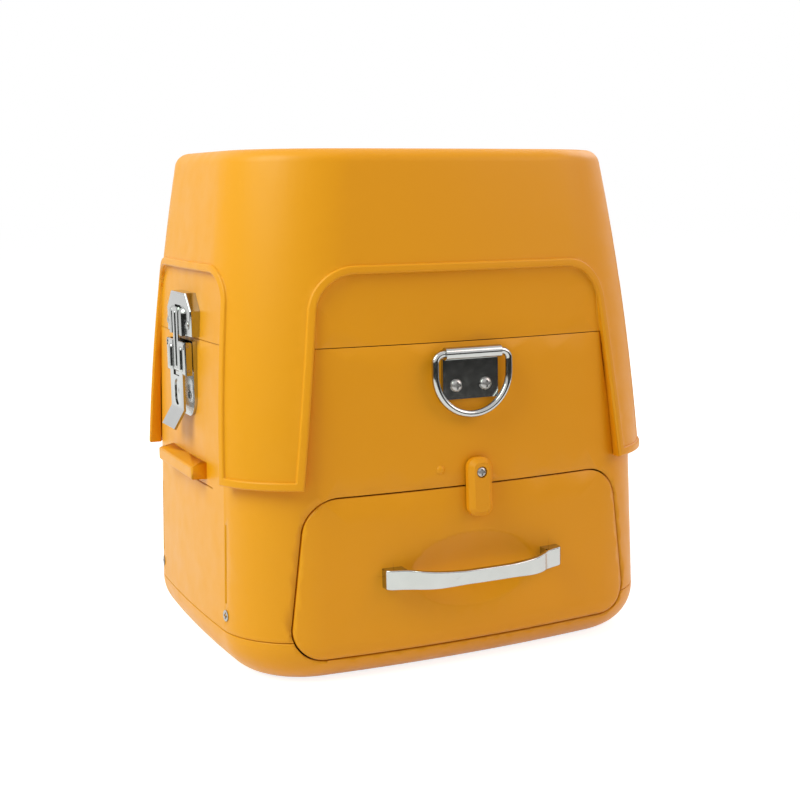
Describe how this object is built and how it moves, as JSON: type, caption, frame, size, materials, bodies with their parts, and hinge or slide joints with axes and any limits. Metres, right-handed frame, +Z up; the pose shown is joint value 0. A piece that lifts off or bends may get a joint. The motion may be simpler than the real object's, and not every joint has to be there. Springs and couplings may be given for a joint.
{
  "type": "equipment carrying case",
  "caption": "Moulded carrying case with a lift-off hood on corner legs, draw latches, hanging rings, and a drawer with a bow pull and a turn button.",
  "frame": {"origin": "on the resting plane, under the middle of the body", "axes": "+Z up, -Y out of the drawer's front, +X to the right as the drawer is faced"},
  "size_m": [0.3478, 0.3114, 0.358],
  "materials": {
    "shell": "satin moulded yellow-orange",
    "chrome": "bright plated",
    "steel": "nickel plated",
    "seal": "matt black",
    "inner_plastic": "matt dark"
  },
  "bodies": {
    "case": {"body_shell": "shell", "base_pan": "shell", "base_screws": "steel", "left_grip_ledge": "shell", "right_grip_ledge": "shell", "instrument_deck": "inner_plastic", "deck_screws": "steel", "drawer_runner_left": "inner_plastic", "drawer_runner_right": "inner_plastic", "runner_screws": "steel", "turn_button_screw": "steel", "turn_button_washer": "steel", "turn_button_nut": "steel", "front_ring_plate": "chrome", "front_ring_screws": "steel", "back_ring_plate": "chrome", "back_ring_screws": "steel", "left_latch_base": "chrome", "left_base_rivets": "steel", "left_lever_pins": "steel", "right_latch_base": "chrome", "right_base_rivets": "steel", "right_lever_pins": "steel"},
    "lid": {"hood_shell": "shell", "lid_gasket": "seal", "left_latch_keeper": "chrome", "left_keeper_rivets": "steel", "right_latch_keeper": "chrome", "right_keeper_rivets": "steel"},
    "drawer": {"drawer_front": "shell", "drawer_tray": "shell", "drawer_screws": "steel", "drawer_handle": "chrome", "handle_screws": "steel"},
    "turn_button": {"turn_button": "shell"},
    "front_ring": {"front_ring": "chrome"},
    "back_ring": {"back_ring": "chrome"},
    "left_lever": {"left_latch_lever": "chrome", "left_claw_pin": "steel"},
    "left_claw": {"left_latch_claw": "chrome"},
    "right_lever": {"right_latch_lever": "chrome", "right_claw_pin": "steel"},
    "right_claw": {"right_latch_claw": "chrome"}
  },
  "joints": [
    {"name": "lid_lift", "type": "slide", "parent": "case", "child": "lid", "axis": [0, 0, 1], "range_m": [0, 0.25]},
    {"name": "drawer_slide", "type": "slide", "parent": "case", "child": "drawer", "axis": [0, -1, 0], "range_m": [0, 0.18]},
    {"name": "turn_button_turn", "type": "hinge", "parent": "case", "child": "turn_button", "pos_m": [0.004, -0.13826, 0.138], "axis": [0, -0.9995, 0.0307], "range_deg": [-60, 90]},
    {"name": "front_ring_swing", "type": "hinge", "parent": "case", "child": "front_ring", "pos_m": [0, -0.1417, 0.221], "axis": [-1, 0, 0], "range_deg": [0, 150]},
    {"name": "back_ring_swing", "type": "hinge", "parent": "case", "child": "back_ring", "pos_m": [0, 0.1417, 0.221], "axis": [1, 0, 0], "range_deg": [0, 150]},
    {"name": "left_lever_turn", "type": "hinge", "parent": "case", "child": "left_lever", "pos_m": [-0.16442, 0, 0.2233], "axis": [0, 1, 0], "range_deg": [0, 100]},
    {"name": "left_claw_turn", "type": "hinge", "parent": "left_lever", "child": "left_claw", "pos_m": [-0.16372, 0, 0.2053], "axis": [0, 1, 0], "range_deg": [-100, 0]},
    {"name": "right_lever_turn", "type": "hinge", "parent": "case", "child": "right_lever", "pos_m": [0.16442, 0, 0.2233], "axis": [0, -1, 0], "range_deg": [0, 100]},
    {"name": "right_claw_turn", "type": "hinge", "parent": "right_lever", "child": "right_claw", "pos_m": [0.16372, 0, 0.2053], "axis": [0, -1, 0], "range_deg": [-100, 0]}
  ],
  "couplings": [
    {"joint": "left_claw_turn", "follows": "left_lever_turn", "ratio": -1},
    {"joint": "right_claw_turn", "follows": "right_lever_turn", "ratio": -1}
  ]
}
